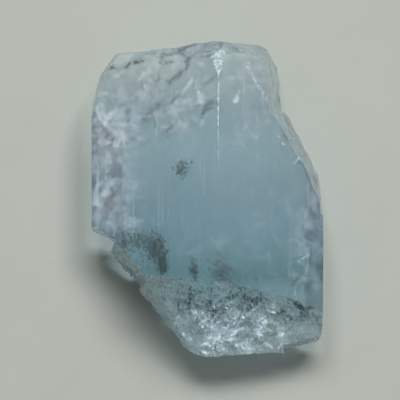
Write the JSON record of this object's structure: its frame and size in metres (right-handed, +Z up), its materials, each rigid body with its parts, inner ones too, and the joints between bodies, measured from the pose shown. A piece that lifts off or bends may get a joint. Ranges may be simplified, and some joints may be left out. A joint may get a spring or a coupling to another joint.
{
  "type": "aquamarine crystal",
  "caption": "Broken length of a pale blue six-sided beryl crystal, lying on a flat face, with a long ridge on top, a square end and shell-shaped fractures at the other end and one shoulder.",
  "frame": {"origin": "centre of the bounding box in X and Y, on the resting plane in Z", "axes": "+X across the prism to its right side, +Y along the growth axis towards the square end, +Z up through the ridge"},
  "size_m": [0.0276, 0.0378, 0.0175],
  "materials": {
    "beryl": "vitreous prism faces, frosty and splintery fracture faces, cloudy inside"
  },
  "bodies": {
    "root": {"aquamarine_crystal": "beryl"}
  },
  "joints": []
}
